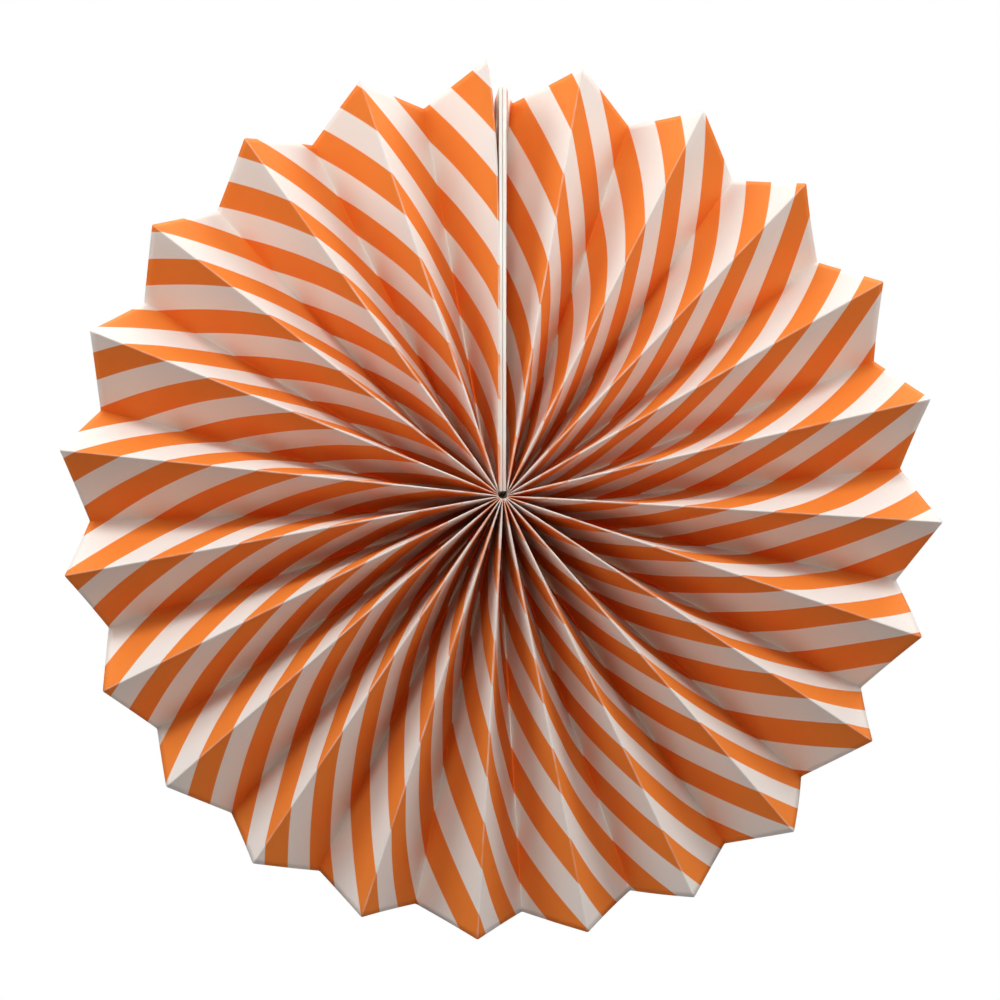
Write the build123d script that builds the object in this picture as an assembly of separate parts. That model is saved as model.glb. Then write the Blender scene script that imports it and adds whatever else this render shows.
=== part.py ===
from build123d import *
import math
import os

# Paper fan rosette: one long strip of paper, pleated and opened into a full ring, closed at
# 12 o'clock by two card strips that are taped face to face, and tied through the hub.
# It hangs upright: X runs to the right, Z up, and the printed front faces -Y. The hub's
# centre is the origin. Sizes are in millimetres and angles in degrees, clockwise from 12.

# Pleated strip
fan_radius = 175.0        # hub centre to the tip of a front fold
rim_slant = 12.0          # the strip's rim is cut on a slant, so that back folds end nearer the hub
panel_width = 38.0        # one fold to the next
end_panel_width = 34.0    # the first and the last panel, each glued to a card
paper = 0.15              # thickness
front_folds = 23
air = 0.02                # between sheets where they crowd together at the hub
sag = 3.7                 # hanging opens the pleats at the top and closes those at the bottom
wander = 0.5              # folds made by hand stray this far to either side
rows = 12                 # flat facets from hub to rim that follow a panel's slow twist

# Seam at 12 o'clock
card_width = 34.0
card_thickness = 1.2
card_overhang = 1.0       # how far the cards reach out past the back folds
tape_thickness = 0.15
tape_margin = 5.0         # bare card round the tape
glue = 0.05               # between an end panel and its card
lift = 4.6                # how far the end panels' folds stand off the cards at the rim
lift_power = 6            # how late on the way to the rim they come away

# Hanging hole through the cards and both end panels
hang_hole = 4.0           # diameter
hang_hole_inset = 12.0    # its centre below the cards' outer ends

# Tie through the hub
tie_radius = 7.0          # the loop's radius about the hub
thread = 0.8              # diameter
tie_sides = 36            # straight stretches in the loop
punch_clearance = 0.15    # round the thread, in each sheet and card

# Worked out from the sizes above
back_radius = fan_radius - rim_slant                 # hub centre to the end of a back fold
card_tip = back_radius + card_overhang               # hub centre to the cards' outer ends
hang_hole_height = card_tip - hang_hole_inset        # above the hub's centre
folds = 2 * front_folds
panels = folds + 1
fold_half = paper / 2 + air / 4                      # half of a fold's flat top
card_face = card_thickness + tape_thickness / 2      # seam plane to a card's outer face
end_sheet = card_face + glue + paper / 2             # seam plane to the middle of an end panel
end_fold = end_sheet + fold_half                     # seam plane to the first and last fold
hub_radius = ((folds - 1) * (paper + air) + 2 * end_fold) / (2 * math.pi)


def clock(angle, radius, aside=0.0):
    """Point in the fan's plane at a clock angle, moved clockwise by aside."""
    turn = math.radians(angle)
    out = Vector(math.sin(turn), 0, math.cos(turn))
    along = Vector(math.cos(turn), 0, -math.sin(turn))
    return out * radius + along * aside


def is_front(fold):
    return fold % 2 == 1


def rim_angle(fold):
    """Clock angle of a fold at the rim, with the sag and the hand's unevenness."""
    opening = math.degrees(math.asin(lift / fan_radius))
    even = opening + (360 - 2 * opening) * fold / (folds - 1)
    ends_fixed = math.sin(math.pi * fold / (folds - 1))
    return even + sag * math.sin(math.radians(even)) + wander * ends_fixed * math.sin(2.4 * fold)


def fold_in_plan(fold, share):
    """Where a fold runs, seen from the front, at a share of the way from hub to rim."""
    round_hub = fold / (folds - 1)
    tip = fan_radius if is_front(fold) else back_radius
    aside = end_fold * (1 - 2 * round_hub)
    if 0 < fold < folds - 1:
        inner = clock(360 * round_hub, hub_radius, aside)
        outer = clock(rim_angle(fold), tip, aside)
        return inner + (outer - inner) * share
    side = 1 if fold == 0 else -1
    off_seam = end_fold + lift * share ** lift_power
    return Vector(side * off_seam, 0, hub_radius + (tip - hub_radius) * share)


def across(panel):
    """Unit vector across a panel in the fan's plane, pointing clockwise."""
    if panel in (0, panels - 1):
        return Vector(1, 0, 0)
    return clock((rim_angle(panel - 1) + rim_angle(panel)) / 2, 0, 1)


def fold_half_depth(fold, share):
    """How far a fold stands from the fan's middle plane: the panels keep their width."""
    gaps = []
    for panel in (fold, fold + 1):
        if 0 < panel < panels - 1:
            gap = fold_in_plan(panel, share) - fold_in_plan(panel - 1, share)
            gaps.append(gap.dot(across(panel)))
    sloping = panel_width - 2 * fold_half
    level = sum(gaps) / len(gaps) - 2 * fold_half
    return math.sqrt(sloping ** 2 - level ** 2) / 2


def crease(number, share):
    """Middle of the paper at a crease: 0 and the last are free edges, those between are folds."""
    if number in (0, folds + 1):
        side, fold = (1, 0) if number == 0 else (-1, folds - 1)
        depth = side * (fold_half_depth(fold, share) - end_panel_width)
        return Vector(side * end_sheet, depth, hub_radius + (back_radius - hub_radius) * share)
    fold = number - 1
    depth = fold_half_depth(fold, share)
    return fold_in_plan(fold, share) + Vector(0, -depth if is_front(fold) else depth, 0)


def panel_corners(panel, share):
    """Front and back corner of a panel's sloping part, at its first and at its second crease."""
    ends = crease(panel, share), crease(panel + 1, share)
    flats = [0 if panel == 0 else fold_half, 0 if panel == panels - 1 else fold_half]
    side = across(panel)
    level = (ends[1] - ends[0]).dot(side) - sum(flats)
    rise = ends[1].Y - ends[0].Y
    slope = math.atan2(abs(rise), level)
    corners = []
    for end, flat, inward, fold in zip(ends, flats, (1, -1), (panel - 1, panel)):
        if flat:
            mitre = paper / 2 * math.tan(slope / 2) * (1 if is_front(fold) else -1)
            front = end + side * inward * (flat + mitre) - Vector(0, paper / 2, 0)
            back = end + side * inward * (flat - mitre) + Vector(0, paper / 2, 0)
        else:
            normal = (side * rise - Vector(0, level, 0)).normalized() * (paper / 2)
            front, back = end + normal, end - normal
        corners.append((front, back))
    return corners


def facets(first, second, third, fourth, rising=True):
    """Two flat triangles in place of a four-cornered patch, split the same way on both faces."""
    split = (first, second, third), (first, third, fourth)
    if not rising:
        split = (first, second, fourth), (second, third, fourth)
    return [Face(Wire.make_polygon(corners)) for corners in split]


def pleated_paper():
    """The strip as one closed skin of flat facets between the crease lines of its two faces."""
    lines = []
    for panel in range(panels):
        sections = [panel_corners(panel, row / rows) for row in range(rows + 1)]
        lines += [[section[end] for section in sections] for end in (0, 1)]
    skin = []
    for number, (line, following) in enumerate(zip(lines, lines[1:])):
        rising = is_front(number // 2)
        for row in range(rows):
            for face in (0, 1):
                near, next_near = line[row][face], following[row][face]
                far, next_far = line[row + 1][face], following[row + 1][face]
                skin += facets(near, next_near, next_far, far, rising)
        for row in (0, rows):
            skin += facets(*line[row], *reversed(following[row]))
    for line in (lines[0], lines[-1]):
        for row in range(rows):
            skin += facets(*line[row], *reversed(line[row + 1]))
    return Solid(Shell(skin))


def end_card(side):
    """Stiff card strip beside the seam plane: side is 1 on the right and -1 on the left."""
    length = card_tip - hub_radius
    inner_face = side * tape_thickness / 2
    middle = (inner_face + side * card_thickness / 2, 0, hub_radius + length / 2)
    return Pos(*middle) * Box(card_thickness, card_width, length)


def seam_tape():
    """Double-sided tape between the two cards."""
    low, high = 2 * tie_radius, card_tip - tape_margin
    return Pos(0, 0, (low + high) / 2) * Box(tape_thickness, card_width - 2 * tape_margin, high - low)


def tie_loop(diameter):
    """Ring round the hub in the fan's middle plane, eight-sided in section and made of flat facets."""
    sections = []
    for step in range(tie_sides):
        turns = [math.radians(45 * corner) for corner in range(8)]
        sections.append([clock(360 * step / tie_sides, tie_radius + diameter / 2 * math.cos(turn))
                         + Vector(0, diameter / 2 * math.sin(turn), 0) for turn in turns])
    skin = []
    for here, there in zip(sections, sections[1:] + sections[:1]):
        for corner in range(8):
            patch = [here[corner - 1], here[corner], there[corner], there[corner - 1]]
            skin.append(Face(Wire.make_polygon(patch)))
    return Solid(Shell(skin))


hang_reach = 2 * (card_face + lift + paper)
hang_punch = Pos(0, 0, hang_hole_height) * Rot(0, 90, 0) * Cylinder(hang_hole / 2, hang_reach)
tie_punch = tie_loop(thread + 2 * punch_clearance)

pieces = {
    "pleated_paper": pleated_paper() - hang_punch - tie_punch,
    "right_end_card": end_card(1) - hang_punch - tie_punch,
    "left_end_card": end_card(-1) - hang_punch - tie_punch,
    "seam_tape": seam_tape() - hang_punch,
    "binding_thread": tie_loop(thread),
}

os.makedirs("parts", exist_ok=True)
for node, shape in pieces.items():
    shape.label = node
    export_step(shape, f"parts/{node}.step")
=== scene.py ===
"""Dresses the striped paper fan: its folded sheet, its card seam, its tie, and the studio round it."""

import logging
import math
import random
from dataclasses import dataclass, field
from enum import Enum

import bmesh
import bpy
from mathutils import Matrix, Vector, noise


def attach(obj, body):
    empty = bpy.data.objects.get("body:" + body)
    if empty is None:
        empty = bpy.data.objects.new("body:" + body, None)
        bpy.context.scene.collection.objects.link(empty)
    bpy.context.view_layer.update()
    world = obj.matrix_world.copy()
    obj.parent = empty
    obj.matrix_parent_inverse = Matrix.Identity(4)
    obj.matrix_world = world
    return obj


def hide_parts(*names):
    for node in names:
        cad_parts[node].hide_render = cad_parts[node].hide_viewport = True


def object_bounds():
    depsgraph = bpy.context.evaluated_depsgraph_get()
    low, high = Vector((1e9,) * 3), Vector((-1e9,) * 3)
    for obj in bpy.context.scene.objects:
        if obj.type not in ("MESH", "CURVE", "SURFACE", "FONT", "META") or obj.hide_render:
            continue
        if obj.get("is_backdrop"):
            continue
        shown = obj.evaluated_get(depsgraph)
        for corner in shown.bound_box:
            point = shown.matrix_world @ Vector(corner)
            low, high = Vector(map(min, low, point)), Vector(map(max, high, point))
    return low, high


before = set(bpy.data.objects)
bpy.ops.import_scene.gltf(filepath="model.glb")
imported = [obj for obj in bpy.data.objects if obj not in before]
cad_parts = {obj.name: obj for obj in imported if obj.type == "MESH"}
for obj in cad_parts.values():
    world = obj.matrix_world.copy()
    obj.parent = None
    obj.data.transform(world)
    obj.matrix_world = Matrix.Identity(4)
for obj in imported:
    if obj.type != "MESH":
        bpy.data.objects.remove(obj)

log = logging.getLogger("paper_fan")
MM = 0.001
UP = Vector((0, 0, 1))
AWAY = Vector((0, 1, 0))        # from the camera towards the fan's back


def srgb(hex_colour: str) -> tuple[float, float, float, float]:
    """Turns an sRGB hex colour into linear red, green, blue and alpha.

    Args:
        hex_colour: six hex digits after a hash sign.

    Returns:
        The linear colour with an alpha of 1.
    """
    parts = (int(hex_colour[i:i + 2], 16) / 255 for i in (1, 3, 5))
    linear = [c / 12.92 if c <= 0.04045 else ((c + 0.055) / 1.055) ** 2.4 for c in parts]
    return (*linear, 1.0)


def add_node(tree: bpy.types.NodeTree, kind: str, inputs: dict | None = None, **settings) -> bpy.types.Node:
    """Adds a node with its settings, and sets or links its inputs.

    Args:
        tree: the node tree that gets the node.
        kind: the node's type name.
        inputs: value or output socket for each input, by name or number.
        **settings: the node's own properties.

    Returns:
        The new node.
    """
    made = tree.nodes.new(kind)
    for name, value in settings.items():
        setattr(made, name, value)
    for socket, value in (inputs or {}).items():
        if isinstance(value, bpy.types.NodeSocket):
            tree.links.new(value, made.inputs[socket])
        else:
            made.inputs[socket].default_value = value
    return made


def place_shape(name: str, shape: bmesh.types.BMesh, *finishes: bpy.types.Material) -> bpy.types.Object:
    """Turns a finished shape into an object of the scene.

    Args:
        name: the name of the mesh and of the object.
        shape: the shape, which is freed.
        *finishes: its materials, in the order of its faces' numbers.

    Returns:
        The new object.
    """
    mesh = bpy.data.meshes.new(name)
    shape.to_mesh(mesh)
    shape.free()
    for finish in finishes:
        mesh.materials.append(finish)
    made = bpy.data.objects.new(name, mesh)
    bpy.context.scene.collection.objects.link(made)
    return made


@dataclass(frozen=True)
class Finish:
    """What every finish shares: a name and a principled surface to dress."""

    name: str = "finish"

    def surface(self) -> tuple[bpy.types.Material, bpy.types.NodeTree, bpy.types.Node]:
        """Starts a material.

        Returns:
            The material, its node tree and its principled shader.
        """
        material = bpy.data.materials.new(self.name)
        material.use_nodes = True
        return material, material.node_tree, material.node_tree.nodes["Principled BSDF"]


class PaperSide(Enum):
    """The two sides of the printed sheet."""

    PRINTED = "printed"
    BARE = "bare"


@dataclass(frozen=True)
class StripedPaper(Finish):
    """Uncoated wood-free paper, offset printed with diagonal stripes on one side.

    The ink soaks in, so both colours stay matt and keep the paper's fibres. It has cracked off
    along the folds. Near the hub some orange is painted onto the white, as painted red bounce light
    between the tight pleats. The sheet is thin enough to let light through, which the ink deepens
    and the paper itself warms. The bare side is white and lets a little of the stripes show through.
    """

    name: str = "offset_printed_paper"
    side: PaperSide = PaperSide.PRINTED
    orange: str = "#FA8E36"
    white: str = "#FAF4EE"
    show_through: float = 0.10      # share of the ink that shows on the bare side
    pitch_mm: float = 24.7          # one orange and one white stripe, measured across them
    slant_deg: float = 43.5         # stripes lean this far from the fold lines
    phase: float = 0.36             # shifts the stripes along the strip, in pitches
    orange_share: float = 0.5       # of a pitch
    edge_mm: float = 0.25           # soft edge of the ink
    panel_mm: float = 38.0          # fold to fold, for the wear along the folds
    worn_mm: float = 0.45           # half width of the worn line on a fold
    worn_core: float = 0.6          # share of that half width that is worn in full
    worn_hub: float = 0.75          # share of the ink that has gone from a fold near the hub
    worn_hub_mm: float = 30.0       # hub to where that share starts to fall
    worn_rim: float = 0.25          # share near the rim, where the strip is handled less
    worn_rim_mm: float = 130.0      # hub to where that share is reached
    worn_least: float = 0.4         # of that share, where a patch of the fold was spared
    patches_a_mm: float = 0.12      # such patches to a millimetre
    painted_bounce_hub: float = 0.25        # share of orange painted on the white at the hub: painted red bounce light between tight pleats
    painted_bounce_hub_mm: float = 15.0     # hub to where that share starts to fall
    painted_bounce_end_mm: float = 110.0    # hub to where the painted bounce light ends
    fibre_mm: float = 1.6           # drawn coarser than real fibres so that it shows
    relief_mm: float = 0.08         # height of the fibres
    roughness: float = 0.72
    ior: float = 1.45
    gloss: float = 0.3              # specular level of bare, uncoated fibres
    translucency: float = 0.2       # share of the light that goes on through a face
    warmth: str = "#FFEEE0"         # what the paper takes out of the light that passes

    def stripes(self, tree: bpy.types.NodeTree, flat: bpy.types.NodeSocket) -> bpy.types.NodeSocket:
        """Lays the diagonal stripes on the flat sheet.

        Args:
            tree: the material's node tree.
            flat: the place on the flat sheet, in millimetres.

        Returns:
            The ink: 1 on orange and 0 on white.
        """
        lean = math.radians(self.slant_deg)
        over_stripes = (math.cos(lean) / self.pitch_mm, math.sin(lean) / self.pitch_mm, 0)
        turns = add_node(tree, "ShaderNodeVectorMath", {0: flat, 1: over_stripes}, operation="DOT_PRODUCT")
        turns = add_node(tree, "ShaderNodeMath", {0: turns.outputs["Value"], 1: self.phase}, operation="ADD")
        wave = add_node(tree, "ShaderNodeMath", {0: turns.outputs[0], 1: 0.5}, operation="PINGPONG")
        middle = self.orange_share / 2
        soft = self.edge_mm / self.pitch_mm
        ends = {"From Min": middle - soft, "From Max": middle + soft, "To Min": 1.0, "To Max": 0.0}
        ink = add_node(tree, "ShaderNodeMapRange", {"Value": wave.outputs[0], **ends},
                       interpolation_type="SMOOTHSTEP")
        return ink.outputs[0]

    def painted_bounce_ink(self, tree: bpy.types.NodeTree, flat: bpy.types.NodeSocket) -> bpy.types.NodeSocket:
        """Paints orange onto the white stripes near the hub: painted red bounce light between the tight
        pleats.

        Args:
            tree: the material's node tree.
            flat: the place on the flat sheet, in millimetres.

        Returns:
            The least ink painted anywhere on the print, which is the painted bounce light.
        """
        place = add_node(tree, "ShaderNodeSeparateXYZ", {0: flat})
        return add_node(tree, "ShaderNodeMapRange",
                        {"Value": place.outputs[1], "From Min": self.painted_bounce_hub_mm,
                         "From Max": self.painted_bounce_end_mm, "To Min": self.painted_bounce_hub,
                         "To Max": 0.0}).outputs[0]

    def worn_folds(self, tree: bpy.types.NodeTree, flat: bpy.types.NodeSocket) -> bpy.types.NodeSocket:
        """Cracks the ink off along the folds, in patches.

        Args:
            tree: the material's node tree.
            flat: the place on the flat sheet, in millimetres.

        Returns:
            The share of the ink that has gone, from 0 to 1.
        """
        place = add_node(tree, "ShaderNodeSeparateXYZ", {0: flat})
        from_fold = add_node(tree, "ShaderNodeMath", {0: place.outputs[0], 1: self.panel_mm},
                             operation="PINGPONG")
        near = add_node(tree, "ShaderNodeMapRange",
                        {"Value": from_fold.outputs[0], "From Min": self.worn_core * self.worn_mm,
                         "From Max": self.worn_mm, "To Min": 1.0, "To Max": 0.0})
        outward = add_node(tree, "ShaderNodeMapRange",
                           {"Value": place.outputs[1], "From Min": self.worn_hub_mm,
                            "From Max": self.worn_rim_mm, "To Min": self.worn_hub,
                            "To Max": self.worn_rim})
        patches = add_node(tree, "ShaderNodeTexNoise",
                           {"Vector": flat, "Scale": self.patches_a_mm, "Detail": 1.0},
                           noise_dimensions="2D")
        spared = add_node(tree, "ShaderNodeMapRange",
                          {"Value": patches.outputs[0], "From Min": 0.35, "From Max": 0.6,
                           "To Min": self.worn_least, "To Max": 1.0})
        worn = add_node(tree, "ShaderNodeMath", {0: outward.outputs[0], 1: spared.outputs[0]},
                        operation="MULTIPLY")
        return add_node(tree, "ShaderNodeMath", {0: near.outputs[0], 1: worn.outputs[0]},
                        operation="MULTIPLY").outputs[0]

    def material(self) -> bpy.types.Material:
        """Builds the paper's material on the flat sheet's own map.

        Returns:
            The paper's material.
        """
        material, tree, shader = self.surface()
        sheet_map = add_node(tree, "ShaderNodeUVMap", uv_map="flat_sheet")
        in_mm = {0: sheet_map.outputs[0], "Scale": (1 / MM, 1 / MM, 1.0)}
        flat = add_node(tree, "ShaderNodeMapping", in_mm).outputs[0]
        ink = self.stripes(tree, flat)
        left = self.show_through
        if self.side is PaperSide.PRINTED:
            # painted red bounce light: orange laid on the white near the hub, for the light between tight
            # pleats
            painted_bounce = self.painted_bounce_ink(tree, flat)
            ink = add_node(tree, "ShaderNodeMath", {0: ink, 1: painted_bounce}, operation="MAXIMUM").outputs[0]
            worn = self.worn_folds(tree, flat)
            left = add_node(tree, "ShaderNodeMath", {0: 1.0, 1: worn}, operation="SUBTRACT").outputs[0]
        ink = add_node(tree, "ShaderNodeMath", {0: ink, 1: left}, operation="MULTIPLY").outputs[0]
        colour = add_node(tree, "ShaderNodeMix", {0: ink, 6: srgb(self.white), 7: srgb(self.orange)},
                          data_type="RGBA").outputs[2]
        fibre = add_node(tree, "ShaderNodeTexNoise",
                         {"Vector": flat, "Scale": 1 / self.fibre_mm, "Detail": 1.0, "Roughness": 0.65},
                         noise_dimensions="2D")
        bump = add_node(tree, "ShaderNodeBump",
                        {"Strength": 0.25, "Distance": self.relief_mm * MM, "Height": fibre.outputs[0]})
        tree.links.new(colour, shader.inputs["Base Color"])
        tree.links.new(bump.outputs[0], shader.inputs["Normal"])
        shader.inputs["Roughness"].default_value = self.roughness
        shader.inputs["IOR"].default_value = self.ior
        shader.inputs["Specular IOR Level"].default_value = self.gloss
        deepened = add_node(tree, "ShaderNodeMix", {0: 1.0, 6: colour, 7: colour},
                            data_type="RGBA", blend_type="MULTIPLY")
        warmed = add_node(tree, "ShaderNodeMix", {0: 1.0, 6: deepened.outputs[2], 7: srgb(self.warmth)},
                          data_type="RGBA", blend_type="MULTIPLY")
        through = add_node(tree, "ShaderNodeBsdfTranslucent",
                           {"Color": warmed.outputs[2], "Normal": bump.outputs[0]})
        shaders = {0: self.translucency, 1: shader.outputs[0], 2: through.outputs[0]}
        sheet = add_node(tree, "ShaderNodeMixShader", shaders)
        tree.links.new(sheet.outputs[0], tree.nodes["Material Output"].inputs["Surface"])
        return material


@dataclass(frozen=True)
class WhiteCard(Finish):
    """Grey-free folding boxboard, die cut: matt and off-white, with a felt-like cut edge."""

    name: str = "die_cut_boxboard"
    colour: str = "#F7F3EA"
    layer_mm: float = 0.3           # plies that show on the cut edge
    fibre_mm: float = 1.43          # drawn coarser than real fibres so that it shows
    relief_mm: float = 0.1          # height of the fibres
    roughness: float = 0.85
    bands_a_metre: int = 20         # of a wave texture whose scale is 1

    def material(self) -> bpy.types.Material:
        """Builds the board's material with its fibres and faint plies.

        Returns:
            The board's material.
        """
        material, tree, shader = self.surface()
        place = add_node(tree, "ShaderNodeTexCoord").outputs["Object"]
        fibre = add_node(tree, "ShaderNodeTexNoise",
                         {"Vector": place, "Scale": 1 / (self.fibre_mm * MM), "Detail": 5.0})
        plies = add_node(tree, "ShaderNodeTexWave",
                         {"Vector": place, "Scale": 1 / (self.layer_mm * MM * self.bands_a_metre),
                          "Distortion": 1.5}, bands_direction="X")
        shade = add_node(tree, "ShaderNodeMapRange", {"Value": plies.outputs[1], "To Min": 0.95})
        colour = add_node(tree, "ShaderNodeMix", {0: 1.0, 6: srgb(self.colour), 7: shade.outputs[0]},
                          data_type="RGBA", blend_type="MULTIPLY").outputs[2]
        bump = add_node(tree, "ShaderNodeBump",
                        {"Strength": 0.3, "Distance": self.relief_mm * MM, "Height": fibre.outputs[0]})
        tree.links.new(colour, shader.inputs["Base Color"])
        tree.links.new(bump.outputs[0], shader.inputs["Normal"])
        shader.inputs["Roughness"].default_value = self.roughness
        return material


@dataclass(frozen=True)
class ClearTape(Finish):
    """Double-sided acrylic tape: thin, slightly milky and slightly tacky looking."""

    name: str = "double_sided_tape"
    colour: str = "#EDE9DC"
    bubble_mm: float = 3.3          # one trapped bubble to the next
    roughness: float = 0.35

    def material(self) -> bpy.types.Material:
        """Builds the tape's material with small trapped bubbles.

        Returns:
            The tape's material.
        """
        material, tree, shader = self.surface()
        place = add_node(tree, "ShaderNodeTexCoord").outputs["Object"]
        bubbles = add_node(tree, "ShaderNodeTexNoise",
                           {"Vector": place, "Scale": 1 / (self.bubble_mm * MM)})
        shade = add_node(tree, "ShaderNodeMapRange",
                         {"Value": bubbles.outputs[0], "From Min": 0.45, "From Max": 0.6, "To Min": 0.9})
        colour = add_node(tree, "ShaderNodeMix", {0: 1.0, 6: srgb(self.colour), 7: shade.outputs[0]},
                          data_type="RGBA", blend_type="MULTIPLY").outputs[2]
        tree.links.new(colour, shader.inputs["Base Color"])
        shader.inputs["Roughness"].default_value = self.roughness
        return material


@dataclass(frozen=True)
class CottonThread(Finish):
    """Natural two-ply cotton thread, spun and unwaxed: soft, matt and slightly fuzzy."""

    name: str = "two_ply_cotton"
    colour: str = "#E6E0D0"
    fibre_mm: float = 0.4           # drawn coarser than real fibres so that it shows
    roughness: float = 0.9
    fuzz: float = 0.3               # sheen of the loose fibres

    def material(self) -> bpy.types.Material:
        """Builds the thread's material with its fine fibres.

        Returns:
            The thread's material.
        """
        material, tree, shader = self.surface()
        place = add_node(tree, "ShaderNodeTexCoord").outputs["Object"]
        fibre = add_node(tree, "ShaderNodeTexNoise",
                         {"Vector": place, "Scale": 1 / (self.fibre_mm * MM), "Detail": 3.0})
        shade = add_node(tree, "ShaderNodeMapRange",
                         {"Value": fibre.outputs[0], "From Min": 0.3, "From Max": 0.7, "To Min": 0.8})
        colour = add_node(tree, "ShaderNodeMix", {0: 1.0, 6: srgb(self.colour), 7: shade.outputs[0]},
                          data_type="RGBA", blend_type="MULTIPLY").outputs[2]
        tree.links.new(colour, shader.inputs["Base Color"])
        shader.inputs["Roughness"].default_value = self.roughness
        shader.inputs["Sheen Weight"].default_value = self.fuzz
        return material


@dataclass(frozen=True)
class FoldLines:
    """Where the folds of the pleated strip run, in millimetres and degrees.

    Folds are counted clockwise from the seam at 12 o'clock, seen from the printed front. Even
    folds stand at the back and odd ones at the front.
    """

    fan_radius: float = 175.0       # hub centre to the tip of a front fold
    back_radius: float = 163.0      # and to the end of a back fold
    panel_width: float = 38.0       # one fold to the next
    end_panel_width: float = 34.0   # the first and the last panel, each glued to a card
    paper: float = 0.15             # thickness
    front_folds: int = 23
    air: float = 0.02               # between sheets where they crowd together at the hub
    sag: float = 3.7                # opens the pleats at the top and closes those at the bottom
    wander: float = 0.5             # folds made by hand stray this far to either side
    wander_step: float = 2.4        # and change so fast from one fold to the next, in radians
    card_thickness: float = 1.2
    tape_thickness: float = 0.15
    glue: float = 0.05              # between an end panel and its card
    lift: float = 4.6               # how far the end panels' folds stand off the cards at the rim
    lift_power: float = 6.0         # how late on the way to the rim they come away

    @property
    def folds(self) -> int:
        """Number of folds."""
        return 2 * self.front_folds

    @property
    def panels(self) -> int:
        """Number of panels, the two glued end panels among them."""
        return self.folds + 1

    @property
    def fold_half(self) -> float:
        """Half of the width that a fold takes up at the hub."""
        return self.paper / 2 + self.air / 4

    @property
    def end_sheet(self) -> float:
        """Distance from the seam's plane to the middle of an end panel."""
        return self.card_thickness + self.tape_thickness / 2 + self.glue + self.paper / 2

    @property
    def end_fold(self) -> float:
        """Distance from the seam's plane to the first and the last fold at the hub."""
        return self.end_sheet + self.fold_half

    @property
    def hub_radius(self) -> float:
        """Radius at which the sheets crowd together."""
        packed = (self.folds - 1) * (self.paper + self.air) + 2 * self.end_fold
        return packed / (2 * math.pi)

    def is_front(self, fold: int) -> bool:
        """Tells whether a fold stands at the front."""
        return fold % 2 == 1

    def clock(self, angle: float, radius: float, aside: float = 0.0) -> Vector:
        """Finds a point in the fan's plane.

        Args:
            angle: clock angle in degrees from 12 o'clock.
            radius: distance from the hub's centre.
            aside: how far the point is then moved clockwise.

        Returns:
            The point.
        """
        turn = math.radians(angle)
        out = Vector((math.sin(turn), 0, math.cos(turn)))
        return out * radius + Vector((math.cos(turn), 0, -math.sin(turn))) * aside

    def rim_angle(self, fold: int) -> float:
        """Works out where a fold ends, with the sag and the hand's unevenness.

        Args:
            fold: the fold's number.

        Returns:
            Its clock angle at the rim.
        """
        opening = math.degrees(math.asin(self.lift / self.fan_radius))
        even = opening + (360 - 2 * opening) * fold / (self.folds - 1)
        ends_fixed = math.sin(math.pi * fold / (self.folds - 1))
        sagged = even + self.sag * math.sin(math.radians(even))
        return sagged + self.wander * ends_fixed * math.sin(self.wander_step * fold)

    def in_plan(self, fold: int, share: float) -> Vector:
        """Works out where a fold runs, seen from the front.

        Args:
            fold: the fold's number.
            share: the share of the way from hub to rim.

        Returns:
            The place in the fan's plane.
        """
        round_hub = fold / (self.folds - 1)
        tip = self.fan_radius if self.is_front(fold) else self.back_radius
        if 0 < fold < self.folds - 1:
            aside = self.end_fold * (1 - 2 * round_hub)
            inner = self.clock(360 * round_hub, self.hub_radius, aside)
            return inner.lerp(self.clock(self.rim_angle(fold), tip, aside), share)
        side = 1 if fold == 0 else -1
        off = self.end_fold + self.lift * share ** self.lift_power
        return Vector((side * off, 0, self.hub_radius + (tip - self.hub_radius) * share))

    def across(self, panel: int) -> Vector:
        """Works out the direction across a panel in the fan's plane.

        Args:
            panel: the panel's number.

        Returns:
            The unit vector, pointing clockwise.
        """
        if panel in (0, self.panels - 1):
            return Vector((1, 0, 0))
        return self.clock((self.rim_angle(panel - 1) + self.rim_angle(panel)) / 2, 0, 1)

    def half_depth(self, fold: int, share: float) -> float:
        """Works out how deep a fold stands, from the rule that the panels keep their width.

        Args:
            fold: the fold's number.
            share: the share of the way from hub to rim.

        Returns:
            Its distance from the fan's middle plane.
        """
        gaps = [(self.in_plan(panel, share) - self.in_plan(panel - 1, share)).dot(self.across(panel))
                for panel in (fold, fold + 1) if 0 < panel < self.panels - 1]
        level = sum(gaps) / len(gaps) - 2 * self.fold_half
        return math.sqrt((self.panel_width - 2 * self.fold_half) ** 2 - level ** 2) / 2

    def crease(self, number: int, share: float) -> Vector:
        """Finds the middle of the paper at a crease.

        Args:
            number: 0 or the last for a free edge, and those between for the folds.
            share: the share of the way from hub to rim.

        Returns:
            The place in space.
        """
        if number in (0, self.folds + 1):
            side, fold = (1, 0) if number == 0 else (-1, self.folds - 1)
            depth = side * (self.half_depth(fold, share) - self.end_panel_width)
            height = self.hub_radius + (self.back_radius - self.hub_radius) * share
            return Vector((side * self.end_sheet, depth, height))
        fold = number - 1
        depth = self.half_depth(fold, share)
        return self.in_plan(fold, share) + AWAY * (-depth if self.is_front(fold) else depth)

    def tip(self, number: int) -> float:
        """Distance from the hub's centre to the outer end of the crease with this number."""
        fold = number - 1
        return self.fan_radius if 0 <= fold < self.folds and self.is_front(fold) else self.back_radius


class Stretch(Enum):
    """The two kinds of stretch that the sheet's columns lie on."""

    PANEL = "panel"
    FOLD = "fold"


@dataclass(frozen=True)
class Column:
    """One line of the sheet from hub to rim: on a panel, or on the round of a fold."""

    stretch: Stretch
    number: int                     # of the panel, or of the crease
    share: float                    # across the panel from 0 to 1, or round the fold from -1 to 1
    flat_mm: float                  # along the flat strip


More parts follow.
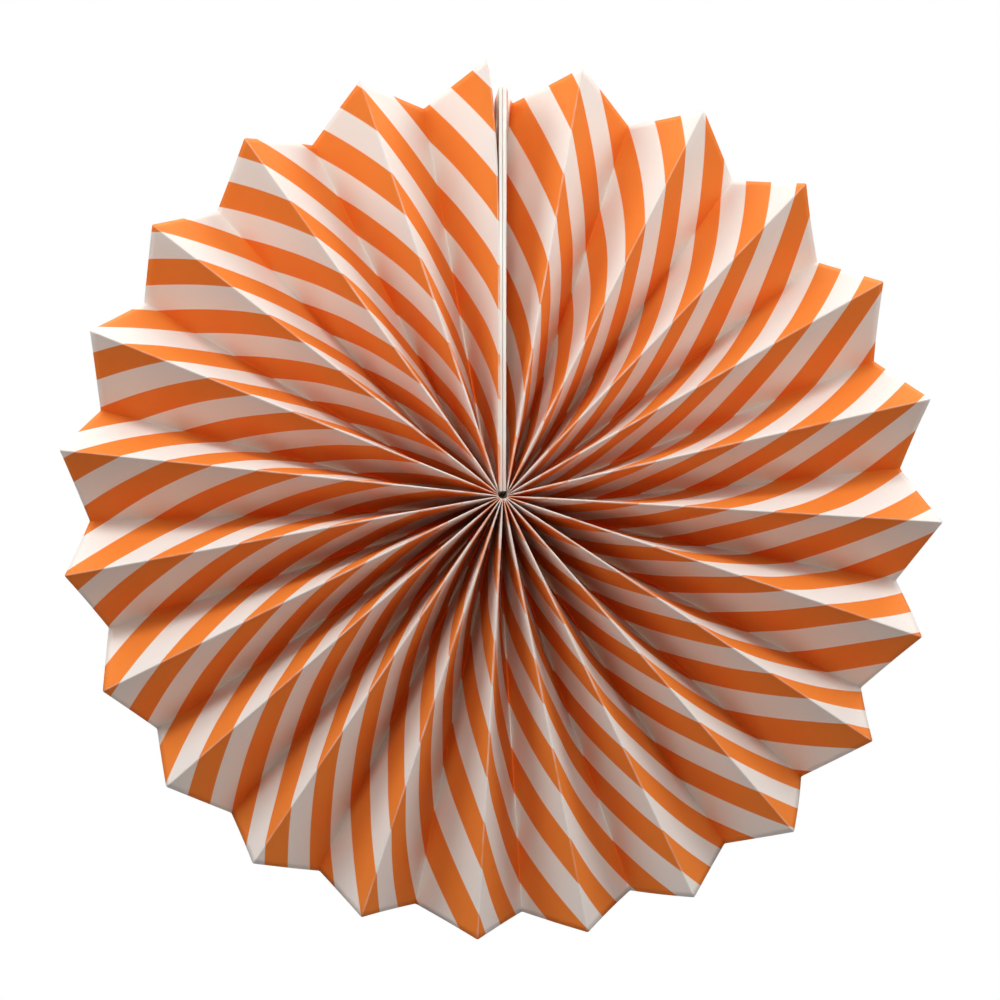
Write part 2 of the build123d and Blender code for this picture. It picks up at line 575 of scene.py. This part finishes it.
@dataclass
class PleatedSheet:
    """The printed strip: a flat sheet with a real thickness, bent along its fold lines."""

    lines: FoldLines = field(default_factory=FoldLines)
    panel_columns: int = 8
    fold_columns: int = 4
    rows: int = 72
    fold_round: float = 0.38        # radius of a fold clear of the hub, in millimetres
    flat_round: float = 1.1         # half of a fold's width on the flat strip, to that radius
    clear_share: float = 0.08       # where the folds have room for that radius
    bow: float = 0.7                # how far a panel bulges at the rim, in millimetres
    bow_power: float = 1.5          # how late on the way to the rim it bulges
    buckle: float = 0.8             # how far it buckles between hub and rim, in millimetres
    buckles: tuple[float, float, float] = (5.3, 4.5, 1.6)  # from panel to panel, outwards, across
    hang_hole: float = 4.0          # diameter of the hole through both end panels
    hang_hole_height: float = 152.0  # above the hub
    hole_sides: int = 48
    seed: int = 7

    def columns(self) -> list[Column]:
        """Lists the sheet's columns.

        Returns:
            The columns from the first free edge to the last.
        """
        made = []
        width = self.lines.panel_width
        fold_half = self.flat_round * self.fold_round
        for panel in range(self.lines.panels):
            for step in range(self.panel_columns + 1):
                share = step / self.panel_columns
                flat = fold_half + share * (width - 2 * fold_half)
                made.append(Column(Stretch.PANEL, panel, share, panel * width + flat))
            if panel < self.lines.panels - 1:
                for step in range(1, self.fold_columns):
                    turn = 2 * step / self.fold_columns - 1
                    flat = (panel + 1) * width + turn * fold_half
                    made.append(Column(Stretch.FOLD, panel + 1, turn, flat))
        return made

    def section(self, columns: list[Column], share: float,
                bulges: list[float]) -> list[tuple[Vector, Vector]]:
        """Works out the sheet's line across all its pleats at one row.

        Args:
            columns: the sheet's columns.
            share: the row's share of the way from hub to rim.
            bulges: how each panel bulges, from -1 to 1.

        Returns:
            For each column, the middle of the paper and the unit vector out of its printed side.
        """
        lines = self.lines
        creases = [lines.crease(number, share) for number in range(lines.folds + 2)]
        opened = min(share / self.clear_share, 1.0)
        radius = lines.fold_half + (self.fold_round - lines.fold_half) * opened
        sides, slopes = [], []
        for panel in range(lines.panels):
            side = lines.across(panel)
            step = creases[panel + 1] - creases[panel]
            rounds = radius * (1 if panel in (0, lines.panels - 1) else 2)
            depth = abs(step.y) - rounds
            between = math.hypot(step.dot(side), depth)
            sides.append(side)
            slopes.append(math.atan2(depth, step.dot(side)) + math.asin(min(rounds / between, 1.0)))

        def round_point(number: int, turn: float, side: Vector) -> tuple[Vector, Vector]:
            """Finds a point on the round of a fold.

            Args:
                number: the crease's number.
                turn: angle round the fold, in radians from its top.
                side: the direction across the fold.

            Returns:
                The point, and the unit vector out of the printed side there.
            """
            outward = -AWAY if lines.is_front(number - 1) else AWAY
            direction = side * math.sin(turn) + outward * math.cos(turn)
            face = direction if lines.is_front(number - 1) else -direction
            return creases[number] + outward * -radius + direction * radius, face

        made = []
        jump, out, over = self.buckles
        for column in columns:
            if column.stretch is Stretch.FOLD:
                number = column.number
                low, high = -slopes[number - 1], slopes[number]
                side = (sides[number - 1] + sides[number]).normalized()
                turn = low + (high - low) * (column.share + 1) / 2
                made.append(round_point(number, turn, side))
                continue
            panel = column.number
            start, stop = creases[panel], creases[panel + 1]
            if panel > 0:
                start = round_point(panel, slopes[panel], sides[panel])[0]
            if panel < lines.panels - 1:
                stop = round_point(panel + 1, -slopes[panel], sides[panel])[0]
            step = stop - start
            level = step.dot(sides[panel])
            face = (sides[panel] * step.y - AWAY * level).normalized()
            arch = math.sin(math.pi * column.share)
            swell = self.bow * bulges[panel] * share ** self.bow_power * arch
            ripple = noise.noise(Vector((panel * jump, share * out, column.share * over)))
            swell += self.buckle * ripple * math.sin(math.pi * share) * arch
            made.append((start + step * column.share + face * swell, face))
        return made

    def flat_sheet(self, columns: list[Column]) -> bmesh.types.BMesh:
        """Makes the strip flat, one unit to a column and a row, with its thickness as one layer.

        Args:
            columns: the sheet's columns.

        Returns:
            The flat strip.
        """
        sheet = bmesh.new()
        wide, high = len(columns) - 1, self.rows
        bmesh.ops.create_grid(sheet, x_segments=wide, y_segments=high, size=0.5)
        bmesh.ops.scale(sheet, vec=(wide, high, 1), verts=sheet.verts)
        bmesh.ops.translate(sheet, vec=(wide / 2, high / 2, 0), verts=sheet.verts)
        bmesh.ops.solidify(sheet, geom=sheet.faces[:], thickness=1.0)
        return sheet

    def build(self) -> bpy.types.Object:
        """Folds the sheet, maps it flat and dresses its sides.

        Returns:
            The finished sheet.
        """
        columns = self.columns()
        dice = random.Random(self.seed)
        bulges = [dice.uniform(-1, 1) for _ in range(self.lines.panels)]
        sheet = self.flat_sheet(columns)
        middle = sum(v.co.z for v in sheet.verts) / len(sheet.verts)
        sections = [self.section(columns, row / self.rows, bulges) for row in range(self.rows + 1)]
        flat_map = sheet.loops.layers.uv.new("flat_sheet")
        for face in sheet.faces:
            heights = {v.co.z > middle for v in face.verts}
            face.material_index = 1 if len(heights) == 2 or heights == {False} else 0
            face.smooth = len(heights) == 1
            for loop in face.loops:
                column, row = round(loop.vert.co.x), round(loop.vert.co.y)
                loop[flat_map].uv = self.flat_place(columns[column], row / self.rows)
        for vert in sheet.verts:
            centre, face = sections[round(vert.co.y)][round(vert.co.x)]
            side = 1 if vert.co.z > middle else -1
            vert.co = (centre + face * (side * self.lines.paper / 2)) * MM
        bmesh.ops.recalc_face_normals(sheet, faces=sheet.faces)
        printed = StripedPaper(panel_mm=self.lines.panel_width).material()
        bare = StripedPaper(name="unprinted_paper_back", side=PaperSide.BARE).material()
        made = place_shape("pleated_sheet", sheet, printed, bare)
        self.punch(made, bare)
        return made

    def punch(self, sheet: bpy.types.Object, cut_face: bpy.types.Material) -> None:
        """Punches the hanging hole through both end panels, in line with the hole in the cards.

        Args:
            sheet: the folded sheet.
            cut_face: the finish of the hole's wall.
        """
        reach = 2 * (self.lines.end_sheet + self.lines.lift) * MM
        radius = self.hang_hole / 2 * MM
        turned = Matrix.Translation(UP * self.hang_hole_height * MM) @ Matrix.Rotation(math.pi / 2, 4, "Y")
        punch = bmesh.new()
        bmesh.ops.create_cone(punch, cap_ends=True, segments=self.hole_sides, radius1=radius,
                              radius2=radius, depth=reach, matrix=turned)
        tool = place_shape("hole_punch", punch, cut_face)
        cut = sheet.modifiers.new("hang_hole", "BOOLEAN")
        cut.operation, cut.solver, cut.object = "DIFFERENCE", "FAST", tool
        ready = sheet.evaluated_get(bpy.context.evaluated_depsgraph_get())
        punched = bpy.data.meshes.new_from_object(ready)
        sheet.modifiers.clear()
        folded, sheet.data = sheet.data, punched
        for used in (folded, tool.data):
            bpy.data.meshes.remove(used)
        punched.name = "pleated_sheet"

    def flat_place(self, column: Column, share: float) -> tuple[float, float]:
        """Finds a place on the flat strip, for the map that the print follows.

        Args:
            column: the column of the place.
            share: the share of the way from hub to rim.

        Returns:
            How far along the strip it lies and how far from the hub's centre, in metres.
        """
        first = column.number
        along = column.share if column.stretch is Stretch.PANEL else 0.0
        second = first + 1 if column.stretch is Stretch.PANEL else first
        tip = self.lines.tip(first) * (1 - along) + self.lines.tip(second) * along
        hub = self.lines.hub_radius
        return column.flat_mm * MM, (hub + (tip - hub) * share) * MM


@dataclass
class SeamCards:
    """The two card strips that close the ring, with the tape between them."""

    edge_mm: float = 0.12           # softness of a cut edge
    weld_mm: float = 0.001

    def dress(self) -> list[bpy.types.Object]:
        """Softens the cut edges of the cards and gives cards and tape their finishes.

        Returns:
            The dressed pieces.
        """
        card, tape = WhiteCard().material(), ClearTape().material()
        dressed = []
        for node, material in (("right_end_card", card), ("left_end_card", card), ("seam_tape", tape)):
            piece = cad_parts[node]
            piece.data.materials.clear()
            piece.data.materials.append(material)
            if material is card:
                weld = piece.modifiers.new("weld", "WELD")
                weld.merge_threshold = self.weld_mm * MM
                bevel = piece.modifiers.new("cut_edge", "BEVEL")
                bevel.width = self.edge_mm * MM
                bevel.segments = 2
                bevel.limit_method = "ANGLE"
            dressed.append(piece)
        return dressed


@dataclass
class BindingThread:
    """The loop of two-ply thread that draws the inner ends together."""

    loop_mm: float = 7.0            # radius of the loop
    thread_mm: float = 0.8          # both plies together
    turns: int = 22                 # of the plies round each other
    steps: int = 264
    sides: int = 8

    def build(self) -> bpy.types.Object:
        """Winds two plies round each other along the loop.

        Returns:
            The finished thread.
        """
        thread = bmesh.new()
        ply = self.thread_mm / 4
        for start in (0.0, math.pi):
            rings = []
            for step in range(self.steps):
                angle = 2 * math.pi * step / self.steps
                out = Vector((math.sin(angle), 0, math.cos(angle)))
                twist = start + self.turns * angle
                centre = out * (self.loop_mm + ply * math.cos(twist)) + AWAY * (ply * math.sin(twist))
                turned = Matrix.Rotation(angle, 4, "Y") @ Matrix.Rotation(math.pi / 2, 4, "Y")
                place = Matrix.Translation(centre * MM) @ turned
                ring = bmesh.ops.create_circle(thread, segments=self.sides, radius=ply * MM, matrix=place)
                rings.append(ring["verts"])
            self.skin(thread, rings)
        bmesh.ops.recalc_face_normals(thread, faces=thread.faces)
        made = place_shape("binding_loop", thread, CottonThread().material())
        made.data.shade_smooth()
        return made

    def skin(self, thread: bmesh.types.BMesh, rings: list) -> None:
        """Joins each ring of a ply to the next, and the last to the first.

        Args:
            thread: the thread's shape.
            rings: the vertices of each ring, in order.
        """
        for ring, following in zip(rings, rings[1:] + rings[:1]):
            edges = {edge for vert in (*ring, *following) for edge in vert.link_edges
                     if all(v in ring for v in edge.verts) or all(v in following for v in edge.verts)}
            bmesh.ops.bridge_loops(thread, edges=list(edges))


@dataclass(frozen=True)
class Lamp:
    """An oblong soft lamp that points at the hub, in metres and watts."""

    name: str
    place: tuple[float, float, float]
    watts: float
    width: float
    depth: float

    def hang(self) -> None:
        """Hangs the lamp at its place."""
        data = bpy.data.lights.new(self.name, "AREA")
        data.energy = self.watts
        data.shape = "RECTANGLE"
        data.size, data.size_y = self.width, self.depth
        made = bpy.data.objects.new(self.name, data)
        made.location = self.place
        made.rotation_euler = (-Vector(self.place)).to_track_quat("-Z", "Y").to_euler()
        bpy.context.scene.collection.objects.link(made)


@dataclass
class Studio:
    """Plain pale studio: floor, lamps, sky and the camera in front of the fan, a little low and left."""

    camera_left_deg: float = 3.5
    camera_below_deg: float = 6.6
    distance: float = 2.2           # camera to hub
    fill: float = 0.88              # the fan's width as a share of the picture's
    floor_drop: float = 1.2         # floor below the hub
    floor_half: float = 4.0         # hub to the floor's edge
    floor_colour: str = "#F2F2F2"
    floor_roughness: float = 0.9
    backdrop: str = "#FFFFFF"       # what the camera sees past the fan
    sky_colour: str = "#F7F7F7"
    ambient: float = 0.19           # light from all round
    floor_glow: float = 0.5         # how much paler the floor looks than the lamps make it
    bounces: int = 5                # light goes to and fro between the pleats
    paper_passes: int = 2           # through more sheets than this it is too faint to count
    faint_light: float = 0.05       # a lamp that gives less is mostly skipped, for a short render
    lamps: tuple[Lamp, ...] = (
        Lamp("front_softbox", (-0.05, -0.55, 0.55), 2.6, 0.16, 0.16),
        Lamp("left_softbox", (-0.6, -0.35, 0.35), 2.8, 0.5, 0.5),
        Lamp("right_softbox", (0.6, -0.35, 0.35), 2.95, 0.5, 0.5),
        Lamp("back_striplight", (0.0, 0.15, 0.36), 1.9, 0.9, 0.2),
        Lamp("back_softbox", (0.3, 1.1, 0.6), 6.0, 0.8, 0.8))

    def background_rays(self, tree: bpy.types.NodeTree) -> bpy.types.NodeSocket:
        """Tells the rays that show the studio, straight, in a gloss or through glass, from the others.

        Light that scatters on its way through paper is lighting, and shows nothing.

        Args:
            tree: the node tree of the floor or of the sky.

        Returns:
            1 for a ray that shows the studio, and else 0.
        """
        path = add_node(tree, "ShaderNodeLightPath")
        direct, gloss = path.outputs["Is Camera Ray"], path.outputs["Is Glossy Ray"]
        seen = add_node(tree, "ShaderNodeMath", {0: direct, 1: gloss}, operation="MAXIMUM").outputs[0]
        passed = {0: path.outputs["Is Transmission Ray"], 1: path.outputs["Is Diffuse Ray"]}
        clear = add_node(tree, "ShaderNodeMath", passed, operation="SUBTRACT").outputs[0]
        return add_node(tree, "ShaderNodeMath", {0: seen, 1: clear}, operation="MAXIMUM").outputs[0]

    def floor(self) -> None:
        """Lays a wide pale floor well below the hanging fan, which keeps the fan's shadow."""
        floor = bmesh.new()
        bmesh.ops.create_grid(floor, x_segments=1, y_segments=1, size=self.floor_half)
        bmesh.ops.translate(floor, vec=(0, 0, -self.floor_drop), verts=floor.verts)
        material = bpy.data.materials.new("pale_floor")
        material.use_nodes = True
        shader = material.node_tree.nodes["Principled BSDF"]
        shader.inputs["Base Color"].default_value = srgb(self.floor_colour)
        shader.inputs["Roughness"].default_value = self.floor_roughness
        shader.inputs["Emission Color"].default_value = srgb(self.backdrop)
        seen = self.background_rays(material.node_tree)
        glow = add_node(material.node_tree, "ShaderNodeMath", {0: seen, 1: self.floor_glow},
                        operation="MULTIPLY")
        material.node_tree.links.new(glow.outputs[0], shader.inputs["Emission Strength"])
        place_shape("studio_floor", floor, material)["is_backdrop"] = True

    def sky(self) -> None:
        """Lights the studio evenly, and shows white where the camera sees past the fan."""
        world = bpy.data.worlds.new("studio_sky")
        bpy.context.scene.world = world
        world.use_nodes = True
        tree = world.node_tree
        tree.nodes.clear()
        light = add_node(tree, "ShaderNodeBackground",
                         {"Color": srgb(self.sky_colour), "Strength": self.ambient})
        white = add_node(tree, "ShaderNodeBackground", {"Color": srgb(self.backdrop), "Strength": 1.0})
        seen = self.background_rays(tree)
        mixed = add_node(tree, "ShaderNodeMixShader", {0: seen, 1: light.outputs[0], 2: white.outputs[0]})
        add_node(tree, "ShaderNodeOutputWorld", {"Surface": mixed.outputs[0]})

    def camera(self) -> None:
        """Sets the camera at the photograph's angle, with the fan filling the picture."""
        data = bpy.data.cameras.new("camera")
        low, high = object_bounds()
        width = max(high[0] - low[0], high[2] - low[2])
        data.lens = data.sensor_width * self.distance * self.fill / width
        made = bpy.data.objects.new("camera", data)
        left, below = math.radians(self.camera_left_deg), math.radians(self.camera_below_deg)
        direction = Vector((-math.sin(left), -math.cos(left) * math.cos(below), -math.sin(below)))
        made.location = direction.normalized() * self.distance
        made.rotation_euler = (-made.location).to_track_quat("-Z", "Y").to_euler()
        bpy.context.scene.collection.objects.link(made)
        bpy.context.scene.camera = made

    def build(self) -> None:
        """Sets up the floor, the sky, the lamps and the camera."""
        bpy.context.scene.view_settings.view_transform = "Standard"
        cycles = bpy.context.scene.cycles
        cycles.max_bounces = cycles.diffuse_bounces = self.bounces
        cycles.transmission_bounces = self.paper_passes
        cycles.light_sampling_threshold = self.faint_light
        self.floor()
        self.sky()
        for lamp in self.lamps:
            lamp.hang()
        self.camera()


def main() -> None:
    """Builds the fan's pieces and the studio."""
    logging.basicConfig(level=logging.INFO, format="%(name)s: %(message)s")
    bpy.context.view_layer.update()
    sheet = PleatedSheet().build()
    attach(sheet, "root")
    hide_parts("pleated_paper")
    log.info("pleated sheet: %d faces", len(sheet.data.polygons))
    for piece in SeamCards().dress():
        log.info("seam piece %s dressed", piece.name)
    thread = BindingThread().build()
    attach(thread, "root")
    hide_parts("binding_thread")
    log.info("binding thread: %d faces", len(thread.data.polygons))
    Studio().build()


if __name__ == "__main__":
    main()
